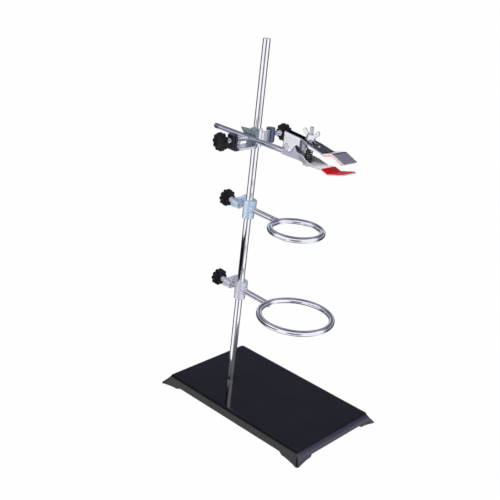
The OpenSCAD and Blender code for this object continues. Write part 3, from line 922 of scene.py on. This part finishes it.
def spring():
    """Coil between the jaws; it rides on no body and is baked into the frame's metres."""
    wire, coils, steps = 0.55, 10.5, 24
    closing = 0.014                          # share of the height that each end coil gives up
    low, high = local(bolt_at, "jaw_spring")
    coil_r, tall = (high.y - low.y) / 2 - wire, high.z - low.z - 2 * wire
    path = []
    for i in range(int(coils * steps) + 1):
        turned = i / steps
        t = turned / coils
        flat = closing * (1 - min(1.0, turned, coils - turned))
        z = low.z + wire + tall * (t - flat if t > 0.5 else t + flat)
        path.append((coil_r * math.cos(TAU * turned), coil_r * math.sin(TAU * turned), z))
    verts, faces = tube(path, wire, 12)
    obj = made("jaw_coil_spring", verts, faces, bolt_at, None, "spring_black", "jaw_spring", 60)
    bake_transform(obj)


def washer(name, node, body, place, inner):
    low, high = local(place, node)
    outer, ease = (high.y - low.y) / 2, 0.2
    corners = [(inner, low.z), (outer, low.z), (outer, high.z), (inner, high.z)]
    verts, faces = lathe(rounded(corners, ease, 3, closed=True), 48, closed=True)
    made(name, verts, faces, place, body, "zinc", node, 60)


def clamp_fittings():
    rivet()
    bolt()
    spring()
    washer("nut_plain_washer", "nut_washer", "washer_body", bolt_at, 2.06)
    casting("wing_nut", "zinc", 0.22, 4)
    lining("lower", "clamp_jaws", "red_lining", LOW_PATH, 111.1, 136.7, 1.02)
    lining("upper", "upper_jaw_body", "red_painted_side_highlight", UP_PATH, 110.1, 134.7, -2.02)


def under_base():
    """The washer and the nut that hold the rod; the nut is the CAD's own with eased edges."""
    washer("rod_plain_washer", "rod_washer", "stand", stand_at, 3.05)
    nut = frame["nodes"]["rod_nut"]
    modified(nut, "BEVEL", width=0.3 * MM, segments=2)
    dress(nut, "zinc", 35)


# ---------------------------------------------------------------- build

base()
support_rod()
ring_set("lower")
ring_set("upper")
boss_head()
clamp_rod()
jaws()
clamp_fittings()
under_base()

# ---------------------------------------------------------------- surroundings

# the camera looks along heading, tilted down, from a metre away
eye = Vector((0.5346, -0.6724, 0.5303))
heading, tilt, roll = math.radians(41.0), math.radians(22.0), math.radians(6.3)
ahead = Vector((-math.sin(heading), math.cos(heading), 0))


def camera():
    data = bpy.data.cameras.new("camera")
    data.sensor_width = 36.0
    data.lens = 62.2
    data.shift_y = 0.003
    data.clip_start, data.clip_end = 0.01, 50.0
    cam = bpy.data.objects.new("camera", data)
    bpy.context.scene.collection.objects.link(cam)
    turn = Matrix.Rotation(heading, 4, "Z") @ Matrix.Rotation(math.pi / 2 - tilt, 4, "X")
    cam.matrix_world = Matrix.Translation(eye) @ turn @ Matrix.Rotation(roll, 4, "Z")
    bpy.context.scene.camera = cam


def panel(name, corners):
    """A single flat face that belongs to the studio."""
    mesh = bpy.data.meshes.new(name)
    mesh.from_pydata(corners, [], [(0, 1, 2, 3)])
    obj = bpy.data.objects.new(name, mesh)
    bpy.context.scene.collection.objects.link(obj)
    return obj


def floor():
    """Pale floor that is evenly white to the camera and takes soft light; it isn't mirrored."""
    size, sunk = 8.0, -0.0002
    obj = panel("floor", [(-size, -size, sunk), (size, -size, sunk), (size, size, sunk), (-size, size, sunk)])
    s = Shader("floor")
    tone = s.mix(s.noise(3.0, 2.0, 0.5), (0.985, 0.985, 0.99), (1.0, 1.0, 1.0))
    glow = s.add("Emission", Color=tone).outputs[0]
    matt = s.add("BsdfDiffuse", Color=tone).outputs[0]
    seen = s.add("LightPath").outputs["Is Camera Ray"]
    obj.data.materials.append(s.surface(s.add("MixShader", Fac=seen, i1=matt, i2=glow)))
    obj.visible_glossy = False


def dark_card():
    """Black panel left of the rod, between the rings, that only polished surfaces can see."""
    away, width, low, high, shade = 0.11, 0.27, 0.088, 0.15, (0.008, 0.007, 0.01, 1)
    left = Matrix.Rotation(math.radians(117), 3, "Z") @ ahead
    side = Vector((-left.y, left.x, 0)) * width / 2
    centre = Vector((rod_mid.x, rod_mid.y, 0)) + left * away
    a, b = centre - side, centre + side
    obj = panel("left_card", [(a.x, a.y, low), (b.x, b.y, low), (b.x, b.y, high), (a.x, a.y, high)])
    s = Shader("left_card")
    obj.data.materials.append(s.surface(s.add("Emission", Color=shade)))
    obj.visible_camera = False
    obj.visible_diffuse = False
    obj.visible_shadow = False


def surroundings():
    """White to the eye and to matt surfaces; bright panels in front and dark behind for polished ones."""
    world = bpy.data.worlds.new("studio")
    bpy.context.scene.world = world
    world.use_nodes = True
    n = Nodes(world.node_tree)
    direction = n.add("TexCoord").outputs["Generated"]
    level = n.add("VectorMath", {"operation": "MULTIPLY"}, i0=direction, i1=(1, 1, 0)).outputs[0]
    level = n.add("VectorMath", {"operation": "NORMALIZE"}, i0=level).outputs[0]
    facing = n.add("VectorMath", {"operation": "DOT_PRODUCT"}, i0=level, i1=ahead).outputs["Value"]
    up = n.add("SeparateXYZ", i0=direction).outputs["Z"]
    # from the camera's own side (0) to behind the stand (1), and from straight down (0) to straight up (1)
    around, height = n.spread(facing, -1.0, 1.0), n.spread(up, -1.0, 1.0)
    # low down, what the upright rod shows: a soft line, white panels, then dark behind
    low = n.ramp(around, (0.0, (0.22, 0.22, 0.26)), (0.02, (0.26, 0.26, 0.30)), (0.05, (1.12, 1.12, 1.14)),
                 (0.3, (1.1, 1.1, 1.12)), (0.46, (1.05, 1.05, 1.08)), (0.52, (0.42, 0.42, 0.47)),
                 (0.58, (0.08, 0.08, 0.11)), (0.92, (0.10, 0.10, 0.14)), (1.0, (0.6, 0.6, 0.65)))
    # higher up: white in front with a dark ceiling; white, dark blue, grey and dark again behind
    front = n.ramp(height, (0.0, (1.12, 1.12, 1.15)), (0.85, (1.12, 1.12, 1.17)), (0.91, (0.13, 0.13, 0.18)),
                   (1.0, (0.08, 0.08, 0.11)))
    behind = n.ramp(height, (0.0, (1.0, 1.0, 1.0)), (0.635, (1.0, 1.0, 1.0)), (0.67, (0.13, 0.145, 0.21)),
                    (0.79, (0.12, 0.13, 0.18)), (0.86, (0.34, 0.34, 0.40)), (0.95, (0.34, 0.34, 0.40)),
                    (1.0, (0.08, 0.08, 0.11)))
    sky = n.mix(n.spread(around, 0.48, 0.62), front, behind)
    ground = n.mix(n.spread(up, -0.75, -0.6), (1.1, 1.1, 1.12), low)
    seen = n.mix(n.spread(up, 0.17, 0.22), ground, sky)
    ray = n.add("LightPath").outputs
    seen = n.mix(ray["Is Diffuse Ray"], seen, (1.06, 1.06, 1.07))
    seen = n.mix(ray["Is Camera Ray"], seen, (0.995, 0.995, 1.0))
    background = n.add("Background", Color=seen, Strength=1.0)
    n.add("OutputWorld", Surface=background.outputs[0])


def lights():
    """Two soft area lights: where each hangs, its size in metres and its power in watts."""
    target = Vector((0, 0, 0.2))
    spots = [("key", (-0.6, -1.1, 1.3), 0.9, 10.0), ("fill", (1.2, -0.3, 0.9), 0.9, 4.0)]
    for name, at, size, power in spots:
        data = bpy.data.lights.new(name, "AREA")
        data.size = size
        data.energy = power
        obj = bpy.data.objects.new(name, data)
        obj.location = at
        obj.rotation_mode = "QUATERNION"
        obj.rotation_quaternion = (target - Vector(at)).to_track_quat("-Z", "Y")
        obj.visible_glossy = False
        bpy.context.scene.collection.objects.link(obj)


camera()
floor()
surroundings()
dark_card()
lights()
bpy.context.scene.view_settings.view_transform = "Standard"
